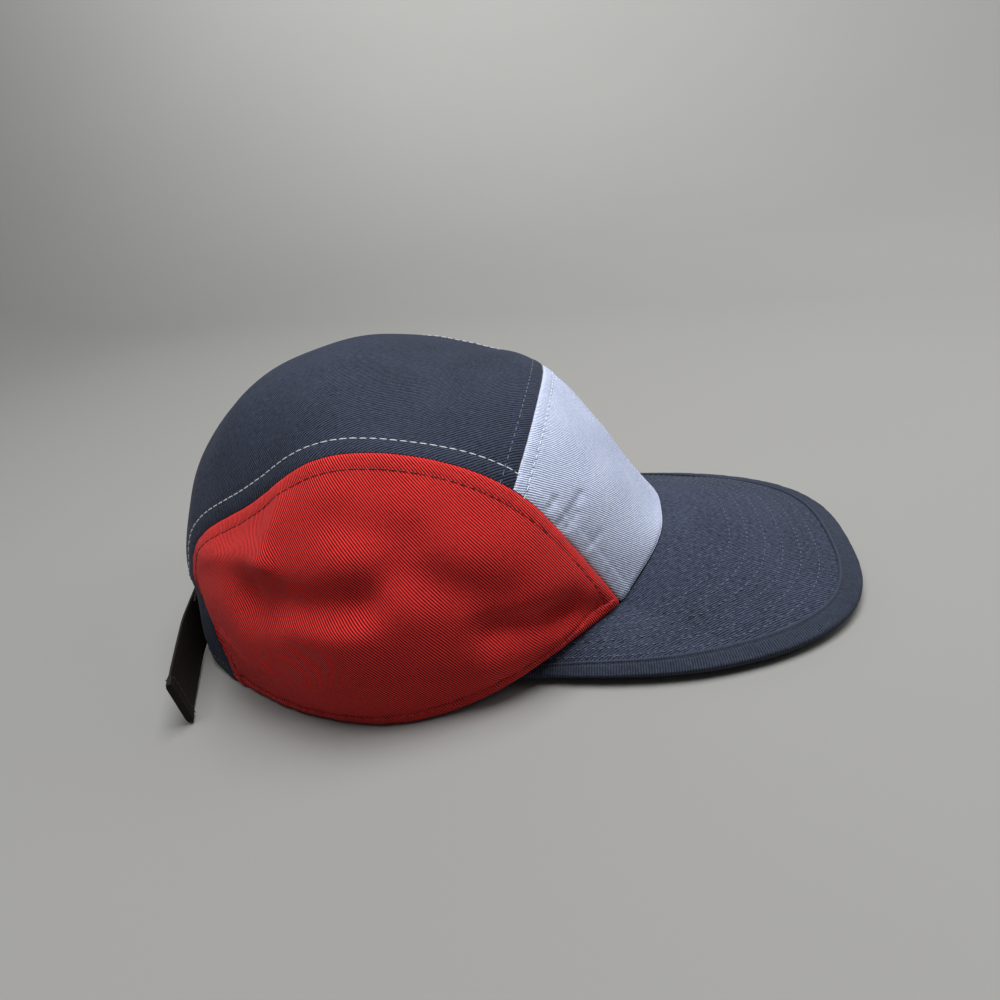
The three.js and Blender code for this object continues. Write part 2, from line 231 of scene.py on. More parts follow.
# Twill: fine diagonal ribs of yarn, from the weave attribute (along, across, distance to the edge, in mm)
def twillMaterial(name, cloth):
    material, kit = newMaterial(name)
    place = kit.make("ShaderNodeAttribute", {"attribute_name": "weave"}, None, "Vector")
    along, across, edge = place.parts()
    angle = math.radians(cloth["angle"])
    drift = kit.noise(place, 0.05, 1.0)
    aside = along * math.sin(angle) + across * math.cos(angle)
    onward = along * math.cos(angle) - across * math.sin(angle)
    yarn = kit.joined(aside * 1.5, onward * 0.45)
    slub = kit.noise(yarn, 1.0, 2.0)
    ridge = kit.math("SINE", (aside / cloth["pitch"] + drift * 0.6) * (2 * math.pi))
    wave = ridge * 0.5 * (1 - cloth["broken"] + slub * (2 * cloth["broken"])) + 0.5
    fuzz = kit.noise(place, 1.9, 3.0)
    height = wave * cloth["rib"] + (slub + fuzz - 1.0) * cloth["grain"] + 0.5 - 0.5 * cloth["rib"]
    tone = kit.noise(place, 0.045, 3.0)
    shade = (height - 0.5) * cloth["contrast"] + (tone - 0.5) * cloth["patch"] + 0.5
    colour = blendColour(kit, cloth["low"], cloth["high"], shade)
    floats = kit.make("ShaderNodeMapRange", None, {"Value": slub, "From Min": cloth["bare"],
                                                   "From Max": cloth["bare"] + 0.1, "To Max": cloth["fleck"]})
    colour = blendColour(kit, colour, cloth["lint"], floats)
    # Partly wear, partly painted highlight: within about 1.6 mm of seams, hems and folded edges the colour is
    # pulled towards the light yarn colour, standing in for light catching the folds. This is strongest on the
    # binding's lip.
    wearAndEdgeHighlight = kit.make("ShaderNodeMapRange", None, {"Value": edge, "From Min": 0.3, "From Max": 1.6,
                                                 "To Min": cloth["edgeLight"], "To Max": 0.0})
    colour = blendColour(kit, colour, cloth["high"], wearAndEdgeHighlight)
    bump = kit.bump(cloth["bump"], 0.0002, height)
    surface = {"Base Color": colour, "Roughness": 0.96 - height * 0.14, "Normal": bump}
    finishMaterial(kit, surface, {"Sheen Weight": 0.03, "Sheen Roughness": 0.5, "Specular IOR Level": 0.15})
    return material


twillColumns = ("low", "high", "angle", "pitch", "rib", "grain", "contrast", "broken", "patch", "fleck", "bare",
                "lint", "edgeLight", "bump")
twillRows = {
    "navyTwill": (rgb(5, 6, 10), rgb(60, 68, 88), 37, 0.96, 0.6, 0.6, 1.6, 0.5, 0.35, 0.2, 0.64,
                  rgb(84, 91, 108), 0.15, 0.4),
    "brimTwill": (rgb(7, 9, 14), rgb(70, 78, 99), -27.6, 0.72, 0.5, 0.8, 1.45, 0.7, 0.3, 0.3, 0.63,
                  rgb(104, 112, 128), 0.15, 0.5),
    "redTwill": (rgb(44, 2, 4), rgb(243, 58, 55), 56, 0.82, 0.9, 0.35, 1.5, 0.2, 0.2, 0.12, 0.7,
                 rgb(214, 110, 104), 0.2, 0.6),
    "lightBlueTwill": (rgb(76, 97, 146), rgb(225, 232, 247), 30, 0.84, 0.8, 0.4, 1.15, 0.3, 0.2, 0.1, 0.66,
                       rgb(236, 240, 250), 0.2, 0.5),
    "bindingTape": (rgb(9, 11, 16), rgb(64, 71, 89), 88, 0.95, 0.5, 0.5, 1.0, 0.5, 0.3, 0.2, 0.64,
                    rgb(96, 103, 120), 0.4, 0.5),
}
cloths = {name: twillMaterial(name, dict(zip(twillColumns, row))) for name, row in twillRows.items()}


def threadMaterial(name, colour):
    material, kit = newMaterial(name)
    place = kit.make("ShaderNodeTexCoord", None, None, "Object")
    ply = kit.noise(place, 1800.0, 2.0)
    dark = tuple(0.6 * part for part in colour[:3]) + (1.0,)
    tint = blendColour(kit, dark, colour, ply * 1.3)
    bump = kit.bump(0.4, 0.0001, ply)
    surface = {"Base Color": tint, "Roughness": 0.75 - ply * 0.2, "Normal": bump}
    finishMaterial(kit, surface, {"Sheen Weight": 0.1})
    return material


threadRows = {  # colour, slot, then the sizes of stitchColumns
    "whiteThread": (rgb(206, 209, 217), "navy_twill", 3.3, 2.95, 0.58, 0.5, 0.15, 4),
    "paleThread": (rgb(92, 99, 117), "navy_twill", 3.3, 2.6, 0.42, 0.4, 0.25, 7),
    "blueThread": (rgb(214, 220, 231), "light_blue_twill", 3.3, 2.6, 0.5, 0.45, 0.25, 9),
    "redThread": (rgb(112, 18, 20), "red_twill", 3.3, 3.1, 0.36, 0.34, 0.15, 11),
    "hemThread": (rgb(172, 60, 56), "red_twill", 3.3, 2.7, 0.42, 0.38, 0.3, 12),
    "navyThread": (rgb(44, 49, 62), "navy_twill", 3.3, 2.7, 0.5, 0.4, 0.2, 13),
    "brimThread": (rgb(82, 89, 107), "brim_twill", 2.7, 1.7, 0.5, 0.4, 0.5, 14),
    # the binding thread is partly painted shade: its dark colour darkens the sunk stitch groove behind the
    # tape's lip
    "bindingThread": (rgb(20, 23, 31), "binding_tape", 3.0, 2.6, 0.45, 0.4, 0.2, 16),
    "blackThread": (rgb(20, 18, 18), "black_webbing", 2.6, 2.2, 0.5, 0.36, 0.2, 15),
}
stitchColumns = ("Pitch", "Length", "Width", "Height", "Unevenness", "Seed")
threads = {name: threadMaterial(name, row[0]) for name, row in threadRows.items()}


def webbingMaterial(name, low, high):
    material, kit = newMaterial(name)
    place = kit.make("ShaderNodeAttribute", {"attribute_name": "weave"}, None, "Vector")
    along, across, edge = place.parts()
    ribs = kit.math("SINE", along * (2 * math.pi / 1.05)) * 0.5 + 0.5
    cords = kit.math("SINE", (across / 1.6 + ribs * 0.22) * (2 * math.pi)) * 0.5 + 0.5
    fuzz = kit.noise(place, 1.9, 3.0)
    height = ribs * 0.35 + cords * 0.3 + fuzz * 0.4
    colour = blendColour(kit, low, high, height)
    bump = kit.bump(0.5, 0.0002, height)
    surface = {"Base Color": colour, "Roughness": 0.85 - height * 0.2, "Normal": bump}
    finishMaterial(kit, surface, {"Specular IOR Level": 0.12})
    return material


def plasticMaterial(name, colour):
    material, kit = newMaterial(name)
    place = kit.make("ShaderNodeTexCoord", None, None, "Object")
    grain = kit.noise(place, 2600.0, 2.0)
    bump = kit.bump(0.25, 0.0001, grain)
    lighter = tuple(1.6 * part for part in colour[:3]) + (1.0,)
    tint = blendColour(kit, colour, lighter, grain)
    finishMaterial(kit, {"Base Color": tint, "Roughness": 0.36 + grain * 0.2, "Normal": bump}, {})
    return material


def floorMaterial(name, colour):
    material, kit = newMaterial(name)
    place = kit.make("ShaderNodeTexCoord", None, None, "Object")
    cloud = kit.noise(place, 3.0, 2.0)
    base = colour + (1.0,)
    tint = blendColour(kit, base, tuple(0.95 * part for part in colour) + (1.0,), cloud)
    finishMaterial(kit, {"Base Color": tint, "Roughness": 0.85 + cloud * 0.1}, {"Specular IOR Level": 0.2})
    return material


webbing = webbingMaterial("blackWebbing", rgb(9, 8, 7), rgb(42, 37, 34))
plastic = plasticMaterial("blackPlastic", rgb(26, 26, 29))
print("materials made", len(bpy.data.materials))


# Crown: one row for each section from the brim seam over the top to the back rim
crownColumns = ("spineX", "spineZ", "seamX", "seamY", "seamZ", "rimX", "rimY", "rimZ", "bulge")
crownRows = {
    "brimSeam": (94.9, 28, 75.5, 44.5, 14.5, 75.5, 44.5, 14.5, 0),
    "frontMiddle": (83.5, 43, 59.5, 51, 47.5, 59, 60, 12.5, 5),
    "frontTop": (50.9, 88.2, 43.5, 56.5, 73.5, 40, 73, 7, 9.5),
    "topFront": (13, 99, 15.5, 58.5, 89.5, 18, 82.5, 1.5, 13.5),
    "crest": (-20.5, 109.5, -19, 61.5, 93.5, -7, 88.5, 0, 15.5),
    "topBack": (-60, 104, -49.5, 56.5, 77, -31, 86, 0, 15),
    "backUpper": (-88.5, 81.5, -77.6, 50.7, 62.5, -50, 80, 0, 10.5),
    "backMiddle": (-104.1, 44.5, -89.4, 52.2, 39, -65.5, 72.5, 0, 4),
    "backRim": (-105.4, 4, -78.4, 65.8, 0.5, -78.4, 65.8, 0, 0),
}
crownSetup = {"ribPower": 2.5, "backRibPower": 4.0, "backRibFrom": 5.5, "frontSeam": 2.0, "last": 8.0,
              "tipTrim": 0.07, "cloth": 1.4, "gap": 0.12, "unrollRadius": 88.0,
              "kinkRow": 7.28, "kinkReach": 0.14, "kinkDepth": 3.0,
              "swellRow": 7.8, "swellReach": 0.35, "swellAcross": 0.86, "swellWidth": 0.1, "swellDepth": 2.6,
              "whiteDrift": 15, "driftFrom": 6.8, "driftTo": 7.6, "backHem": 0.4,
              "sideInset": 6.2, "redInset": 5.6, "frontInset": 5.0, "hemInset": 4.3}


def spline(values):  # natural cubic spline through values at 0, 1, 2 and so on
    values = np.array(values, float)
    count = len(values)
    system = np.eye(count)
    turns = np.zeros(count)
    for k in range(1, count - 1):
        system[k, k - 1:k + 2] = (1, 4, 1)
        turns[k] = 3 * (values[k + 1] - 2 * values[k] + values[k - 1])
    bend = np.linalg.solve(system, turns)

    def at(u):
        k = np.clip(np.floor(u).astype(int), 0, count - 2)
        t = u - k
        slope = values[k + 1] - values[k] - (2 * bend[k] + bend[k + 1]) / 3
        return values[k] + t * (slope + t * (bend[k] + t * (bend[k + 1] - bend[k]) / 3))
    return at


crown = {column: spline([row[k] for row in crownRows.values()]) for k, column in enumerate(crownColumns)}


def stripPoint(u, w):  # u along the centre strip, w across it from -1 to 1
    u, w = np.broadcast_arrays(np.asarray(u, float), np.asarray(w, float))
    toBack = smooth(crownSetup["backRibFrom"], crownSetup["last"], u)
    power = crownSetup["ribPower"] + toBack * (crownSetup["backRibPower"] - crownSetup["ribPower"])
    share = np.abs(w) ** power
    kink = crownSetup["kinkDepth"] * hump(u, crownSetup["kinkRow"], crownSetup["kinkReach"]) * (w < 0)
    swell = crownSetup["swellDepth"] * hump(u, crownSetup["swellRow"], crownSetup["swellReach"])
    swell = swell * hump(np.abs(w), crownSetup["swellAcross"], crownSetup["swellWidth"])
    x = crown["spineX"](u) + share * (crown["seamX"](u) - crown["spineX"](u) + kink * share) - swell
    z = crown["spineZ"](u) + share * (crown["seamZ"](u) - crown["spineZ"](u))
    return np.stack([x, w * crown["seamY"](u), z], -1)


def rimPoint(u, side):
    u = np.asarray(u, float)
    return np.stack([crown["rimX"](u), side * crown["rimY"](u), np.maximum(0, crown["rimZ"](u))], -1)


# Dents (negative) and swells of a side panel: from x, z to x, z, width, depth
sideFolds = {
    "upperRidge": (-76, 58, -37, 62, 6, 2.2),
    "cornerDent": (-87, 34, -80, 18, 6, -3),
    "cornerRidge": (-33, 82, -37, 62, 5, 2),
    "backHollow": (-44, 47, -9, 49, 8, -4.5),
    "lowerSwell": (-28, 41, -11, 39, 6, 1.2),
    "topHollow": (-12, 74, 8, 67, 7, -1.8),
    "middleHollow": (4, 57, 34, 42, 8, -2.6),
    "frontDent": (30, 31, 53, 27, 6, -4),
    "tipDent": (50, 27, 64, 20, 4.5, -2.2),
    "frontHemSwell": (30, 15, 52, 14, 7, 1.6),
}
fineCreases = {
    "cornerUpper": (-67.5, 28.8, -53.4, 18.7, 1.8, 0.7),
    "cornerLower": (-47.4, 23, -42.7, 13.9, 1.8, 0.5),
}
leftFoldShare = 0.6
frontGathers = {  # from y, z to y, z on the front panel, width, depth
    "longGather": (-51, 55.8, -38.9, 59.8, 1.6, -0.7),
    "lowerGather": (-50, 53.2, -44.6, 55.5, 1.4, -0.6),
    "upperGather": (-51.8, 62.6, -48, 63.9, 1.4, -0.5),
    "cornerGather": (-45.9, 42.3, -41.5, 44.3, 1.5, -0.3),
}


def foldLift(points, folds):
    lift = np.zeros(points.shape[:-1])
    for fromX, fromZ, toX, toZ, width, depth in folds.values():
        runX, runZ = toX - fromX, toZ - fromZ
        t = ((points[..., 0] - fromX) * runX + (points[..., 2] - fromZ) * runZ) / (runX ** 2 + runZ ** 2)
        t = np.clip(t, 0, 1)
        distance = np.hypot(points[..., 0] - fromX - t * runX, points[..., 2] - fromZ - t * runZ)
        lift += depth * np.exp(-(distance / width) ** 2)
    return lift


def sidePoint(u, v, side):  # v from the seam at 0 to the rim at 1
    u, v = np.broadcast_arrays(np.asarray(u, float), np.asarray(v, float))

    def chord(row):
        seam = stripPoint(row, side)
        return seam + (rimPoint(row, side) - seam) * v[..., None]
    point = chord(u)
    rung = rimPoint(u, side) - stripPoint(u, side)
    outward = side * unit(np.cross(rung, chord(u + 0.01) - point))
    arch = 4 * v * (1 - v)
    share = leftFoldShare if side > 0 else 1.0
    folds = foldLift(point, sideFolds) + foldLift(point, fineCreases)
    lift = crown["bulge"](u) * arch + share * folds * np.minimum(1, 2 * arch)
    return point + outward * lift[..., None]


def awayFromInside(normal, points):
    facing = np.sum(normal * (points - np.array([0, 0, 30.0])), -1, keepdims=True)
    return np.where(facing < 0, -normal, normal)


def gridNormal(points):
    normal = unit(np.cross(np.gradient(points, axis=0), np.gradient(points, axis=1)))
    return awayFromInside(normal, points)


def seamNormal(u, side):  # shared direction of the two cloths at a seam
    strip = surfaceNormal(stripPoint, u, 0.98 * side)
    panel = surfaceNormal(lambda a, b: sidePoint(a, b, side), u, 0.04)
    at = stripPoint(u, side)
    return unit(awayFromInside(strip, at) + awayFromInside(panel, at))


def nearest(points, line):  # distance to a line and how far along it
    steps = runLength(line)
    fine = np.linspace(0, steps[-1], int(steps[-1] / 0.4) + 2)
    dense = resampled(fine, steps, line)
    tree = kdtree.KDTree(len(dense))
    for k, spot in enumerate(dense):
        tree.insert(spot, k)
    tree.balance()
    found = [tree.find(spot) for spot in points.reshape(-1, 3)]
    distance = np.array([hit[2] for hit in found]).reshape(points.shape[:-1])
    place = fine[np.array([hit[1] for hit in found])].reshape(points.shape[:-1])
    return distance, place


def ripple(place, phase):  # uneven gathers along a row of stitches
    waves = ((5.3, 0.5), (8.7, 0.6), (14.1, 0.7), (3.4, 0.3))
    return sum(size * np.sin(2 * np.pi * place / length + phase * (k + 1))
               for k, (length, size) in enumerate(waves))


def seamRelief(distance, place, phase, inset, gather=0.1):
    groove = -0.15 * hump(distance, 0, 0.4)
    pad = 0.25 * smooth(0.3, 1.6, distance) * (1 - smooth(inset - 1.0, inset + 1.6, distance))
    row = -0.25 * hump(distance, inset, 0.7)
    pucker = gather * ripple(place, phase) * hump(distance, 0.55 * inset, 0.75 * inset)
    return groove + pad + row + pucker


def hemRelief(distance, place, phase, inset):
    fold = 0.75 * (1 - smooth(inset - 0.3, inset + 0.7, distance)) - 0.5 * hump(distance, 0, 1.0)
    row = -0.5 * hump(distance, inset + 0.4, 0.8)
    pucker = 0.16 * ripple(place, phase) * hump(distance, inset, 4.0)
    return fold + row + pucker


def clothUnrest(points):  # slow unevenness of hand-worn cloth
    x, y, z = points[..., 0], points[..., 1], points[..., 2]
    return (0.35 * np.sin(x / 9.1 + z / 13.7 + 0.4) * np.sin(y / 11.3 - z / 8.9 + 1.1)
            + 0.25 * np.sin(x / 5.2 - y / 7.7 + 2.0) * np.sin(z / 6.1 + x / 17.0))


def between(values, count):  # a smooth line through values, at count even places
    return spline(values)(np.linspace(0, len(values) - 1, count) - 1e-9)


patternSetup = {"rows": 25, "columns": 7, "rounds": 400, "pull": 0.12}


def flatPattern(base, start):  # where each point of a sewn panel lay on the flat cloth
    rows = np.linspace(0, len(base) - 1, patternSetup["rows"]).round().astype(int)
    columns = np.linspace(0, base.shape[1] - 1, patternSetup["columns"]).round().astype(int)
    sewn, flat = base[np.ix_(rows, columns)], start[np.ix_(rows, columns)].astype(float)
    full, first, last = slice(None), slice(None, -1), slice(1, None)
    pairs = [((first, full), (last, full)), ((full, first), (full, last)), ((first, first), (last, last)),
             ((first, last), (last, first))]
    spans = [np.linalg.norm(sewn[b] - sewn[a], axis=-1) for a, b in pairs]
    for _ in range(patternSetup["rounds"]):
        for (a, b), span in zip(pairs, spans):
            gap = flat[b] - flat[a]
            stretch = 1 - span / np.maximum(np.linalg.norm(gap, axis=-1), 1e-6)
            pull = gap * (patternSetup["pull"] * stretch)[..., None]
            flat[a] += pull
            flat[b] -= pull
    tall = np.stack([[between(flat[:, c, k], len(base)) for c in range(len(columns))] for k in range(2)])
    return np.stack([[between(tall[k, :, r], base.shape[1]) for r in range(len(base))] for k in range(2)], -1)


def sheetMesh(name, outer, inner, weave, material):
    rows, columns = outer.shape[:2]
    front = np.arange(rows * columns).reshape(rows, columns)
    back = front + rows * columns

    def quads(a, b, c, d):
        return np.stack([a.ravel(), b.ravel(), c.ravel(), d.ravel()], -1)
    faces = [quads(front[:-1, :-1], front[1:, :-1], front[1:, 1:], front[:-1, 1:]),
             quads(back[:-1, :-1], back[:-1, 1:], back[1:, 1:], back[1:, :-1]),
             quads(front[1:, 0], front[:-1, 0], back[:-1, 0], back[1:, 0]),
             quads(front[:-1, -1], front[1:, -1], back[1:, -1], back[:-1, -1]),
             quads(front[0, :-1], front[0, 1:], back[0, 1:], back[0, :-1]),
             quads(front[-1, 1:], front[-1, :-1], back[-1, :-1], back[-1, 1:])]
    points = np.concatenate([outer.reshape(-1, 3), inner.reshape(-1, 3)])
    weave = np.concatenate([weave.reshape(-1, 3)] * 2)
    return meshPiece(name, points, np.concatenate(faces), weave, material)


def meshPiece(name, points, faces, weave, material, sharp=55):
    corners = points[faces]  # the sign of the volume says which way the faces point
    cone = np.einsum("ij,ij->i", corners[:, 0], np.cross(corners[:, 1], corners[:, 2]))
    if faces.shape[1] == 4:
        cone = cone + np.einsum("ij,ij->i", corners[:, 0], np.cross(corners[:, 2], corners[:, 3]))
    if cone.sum() < 0:
        faces = faces[:, ::-1]
    mesh = bpy.data.meshes.new(name)
    mesh.from_pydata(toScene(points).tolist(), [], faces.tolist())
    if weave is not None:
        store = mesh.attributes.new("weave", "FLOAT_VECTOR", "POINT")
        store.data.foreach_set("vector", np.ascontiguousarray(weave, np.float32).ravel())
    mesh.polygons.foreach_set("use_smooth", np.ones(len(mesh.polygons), bool))
    mesh.set_sharp_from_angle(angle=math.radians(sharp))
    mesh.materials.append(material)
    mesh.update()
    return linked(name, mesh)


def dressNode(piece, node):
    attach(piece, "root")
    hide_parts(node)


stitchRuns = {}  # thread -> list of (points, facing) runs in millimetres


def addRun(thread, points, facing):
    if len(points) > 3:
        stitchRuns.setdefault(thread, []).append((np.array(points), np.array(facing)))


def levelLine(grid, normal, field, level, keep=None):
    # where the field first reaches the level along each row of the grid
    points, facing = [], []
    for k in range(len(grid)):
        line = field[k]
        hits = np.nonzero((line[:-1] - level) * (line[1:] - level) <= 0)[0]
        if len(hits) == 0 or (keep is not None and not keep(k, hits[0])):
            continue
        j = hits[0]
        share = (level - line[j]) / (line[j + 1] - line[j] + 1e-9)
        points.append(grid[k, j] + share * (grid[k, j + 1] - grid[k, j]))
        facing.append(normal[k, j])
    return points, facing


# Centre strip panels
stripSeams = {side: stripPoint(np.linspace(0, crownSetup["last"], 600), side) for side in (-1, 1)}
frontSeamLine = stripPoint(crownSetup["frontSeam"], np.linspace(-1, 1, 160))
brimSeamLine = stripPoint(0.0, np.linspace(-1, 1, 160))
backRimLine = stripPoint(crownSetup["last"], np.linspace(-1, 1, 160))


def mitred(normal, u, columns, distances):  # turn the cloth's edge towards its neighbour at a seam
    turned = normal.copy()
    for side, distance in distances.items():
        share = (1 - smooth(0, 4.0, distance))[..., None]
        target = np.repeat(seamNormal(u, side)[:, None, :], columns, axis=1)
        turned = turned * (1 - share) + target * share
    return unit(turned)


def sewPanel(names, base, turned, low, lift, flat, edge, material):
    name, node, slot = names
    level = unit(turned * np.array([1, 1, 0.0]))
    turned = unit(turned * (1 - low) + level * low)
    outer = base + turned * lift[..., None]
    inner = base - turned * crownSetup["cloth"]
    piece = sheetMesh(name, outer, inner, np.dstack([flat, edge]), material)
    dressNode(piece, node)
    return outer, turned


def stripPanel(name, node, slot, fromRow, toRow, rows, columns, material):
    u = np.linspace(fromRow, toRow, rows)
    reach = 1 - crownSetup["gap"] / crown["seamY"](u)
    w = reach[:, None] * np.linspace(-1, 1, columns)[None, :]
    base = stripPoint(u[:, None], w)
    normal = gridNormal(base)
    toSide = {side: nearest(base, stripSeams[side]) for side in (-1, 1)}
    toFront = nearest(base, frontSeamLine)
    lift = clothUnrest(base) * smooth(0, 14, np.minimum(toSide[-1][0], toSide[1][0]))
    for side, (distance, place) in toSide.items():
        lift += seamRelief(distance, place, 1.3 + side, crownSetup["sideInset"], 0.06)
    lift += seamRelief(*toFront, 2.1, crownSetup["frontInset"])
    if fromRow == 0:
        lift += foldLift(base[..., [1, 1, 2]], frontGathers)
    lowEdge = brimSeamLine if fromRow == 0 else backRimLine
    toLow = nearest(base, lowEdge)
    if fromRow > 0:
        lift += crownSetup["backHem"] * hemRelief(*toLow, 0.7, crownSetup["hemInset"])
    else:
        lift += -0.6 * hump(toLow[0], 0, 1.2)
    turned = mitred(normal, u, columns, {side: pair[0] for side, pair in toSide.items()})
    low = (1 - smooth(0, 3.0, toLow[0]))[..., None]
    alongStep = np.linalg.norm(np.diff(base, axis=0), axis=-1).mean(1)
    along = np.r_[0, np.cumsum(alongStep)]
    acrossStep = np.linalg.norm(np.diff(base, axis=1), axis=-1)
    across = np.concatenate([np.zeros((rows, 1)), np.cumsum(acrossStep, axis=1)], axis=1)
    across -= across[:, columns // 2][:, None]
    edge = np.minimum(np.minimum(toSide[-1][0], toSide[1][0]), np.minimum(toFront[0], toLow[0]))
    flat = flatPattern(base, np.stack([np.repeat(along[:, None], columns, axis=1), across], -1))
    outer, turned = sewPanel((name, node, slot), base, turned, low, lift, flat, edge, material)
    return outer, turned, {"side": toSide, "front": toFront, "low": toLow}


topOuter, topNormal, topTo = stripPanel("topCloth", "top_panel", "navy_twill", 2.005, 8.0, 250, 141,
                                        cloths["navyTwill"])
frontOuter, frontNormal, frontTo = stripPanel("frontCloth", "front_panel", "light_blue_twill", 0.0, 1.995,
                                              130, 171, cloths["lightBlueTwill"])
topRows = np.linspace(2.005, 8.0, len(topOuter))[:, None]
drift = crownSetup["whiteDrift"] * smooth(crownSetup["driftFrom"], crownSetup["driftTo"], topRows)
for side in (-1, 1):
    topHalf = slice(0, 70) if side < 0 else slice(70, None)
    run = levelLine(topOuter[:, topHalf], topNormal[:, topHalf], topTo["side"][side][0][:, topHalf] - drift,
                    crownSetup["sideInset"])
    addRun("whiteThread", *run)


def rowAcross(outer, normal, field, inset, way):  # a row along the front or lower edge of a strip panel
    return levelLine(outer.transpose(1, 0, 2)[:, ::way], normal.transpose(1, 0, 2)[:, ::way],
                     field[0].T[:, ::way], inset)


addRun("paleThread", *rowAcross(topOuter, topNormal, topTo["front"], crownSetup["frontInset"], 1))
addRun("blueThread", *rowAcross(frontOuter, frontNormal, frontTo["front"], crownSetup["frontInset"], -1))
addRun("navyThread", *rowAcross(topOuter, topNormal, topTo["low"], crownSetup["hemInset"], -1))
print("centre strip sewn")


# Side panels
def sidePanel(name, node, side, rows, columns, material):
    ends = (crownSetup["tipTrim"], crownSetup["last"] - crownSetup["tipTrim"])
    u = np.linspace(*ends, rows)
    rung = rimPoint(u, side) - stripPoint(u, side)
    seamRun = unit(stripPoint(u + 0.01, side) - stripPoint(u - 0.01, side))
    start = np.minimum(0.4, crownSetup["gap"] / np.linalg.norm(np.cross(rung, seamRun), axis=-1))
    v = start[:, None] + (1 - start[:, None]) * np.linspace(0, 1, columns)[None, :]
    base = sidePoint(u[:, None], v, side)
    normal = gridNormal(base)
    rimLine = rimPoint(np.linspace(0, crownSetup["last"], 600), side)
    toSeam = nearest(base, stripSeams[side])
    toRim = nearest(base, rimLine)
    length = np.linalg.norm(rung, axis=-1)[:, None]
    fade = smooth(2, 16, length)
    lift = fade * clothUnrest(base) * smooth(0, 14, toSeam[0]) * smooth(0, 10, toRim[0])
    tipPress = 0.6 * hump(toSeam[0], 0, 0.9) * (1 - fade)
    lift += seamRelief(*toSeam, 0.4, crownSetup["redInset"]) * fade - tipPress
    lift += hemRelief(*toRim, 1.9, crownSetup["hemInset"]) * fade
    turned = mitred(normal, u, columns, {side: toSeam[0]})
    low = np.maximum(1 - smooth(0, 3.0, toRim[0]), 1 - smooth(2, 12, length))[..., None]
    edge = np.minimum(toSeam[0], toRim[0])
    around = crownSetup["unrollRadius"] * np.arctan2(base[..., 0], side * base[..., 1])
    flat = flatPattern(base, np.stack([around, base[..., 2]], -1))
    outer, turned = sewPanel((name, node, "red_twill"), base, turned, low, lift, flat, edge, material)
    addRun("redThread", *levelLine(outer, turned, toSeam[0], crownSetup["redInset"],
                                   lambda k, j: length[k, 0] > 14))
    back = slice(None, None, -1)
    addRun("hemThread", *levelLine(outer[:, back], turned[:, back], toRim[0][:, back], crownSetup["hemInset"],
                                   lambda k, j: length[k, 0] > 9))


sidePanel("sideClothRight", "side_panel_right", -1, 230, 110, cloths["redTwill"])
sidePanel("sideClothLeft", "side_panel_left", 1, 230, 110, cloths["redTwill"])
print("side panels sewn")


# Geometry Nodes: trees built here, then turned into plain meshes
def newTree(name, inputs):
    tree = bpy.data.node_groups.new(name, "GeometryNodeTree")
    tree.interface.new_socket(name="Geometry", in_out="INPUT", socket_type="NodeSocketGeometry")
    tree.interface.new_socket(name="Geometry", in_out="OUTPUT", socket_type="NodeSocketGeometry")
    for kind, labels in inputs.items():
        for label in labels:
            tree.interface.new_socket(name=label, in_out="INPUT", socket_type="NodeSocket" + kind)
    entry = tree.nodes.new("NodeGroupInput")
    wires = {socket.name: Wire(tree, socket) for socket in entry.outputs if socket.name}
    return tree, Wire(tree), wires


def closeTree(tree, kit, geometry, material):
    geometry = kit.make("GeometryNodeRealizeInstances", None, {"Geometry": geometry})
    geometry = kit.make("GeometryNodeSetShadeSmooth", None, {0: geometry})
    geometry = kit.make("GeometryNodeSetMaterial", None, {"Geometry": geometry, "Material": material})
    leave = tree.nodes.new("NodeGroupOutput")
    tree.links.new(geometry.socket, leave.inputs[0])


def runTree(piece, tree, values, material):
    modifier = piece.modifiers.new(tree.name, "NODES")
    modifier.node_group = tree
    sockets = {item.name: item.identifier for item in tree.interface.items_tree
               if item.item_type == "SOCKET" and item.in_out == "INPUT"}
    for label, value in values.items():
        modifier[sockets[label]] = value
    modifier[sockets["Material"]] = material
    graph = bpy.context.evaluated_depsgraph_get()
    mesh = bpy.data.meshes.new_from_object(piece.evaluated_get(graph), depsgraph=graph)
    piece.modifiers.remove(modifier)
    piece.data = mesh
    mesh.materials.clear()
    mesh.materials.append(material)
    return piece


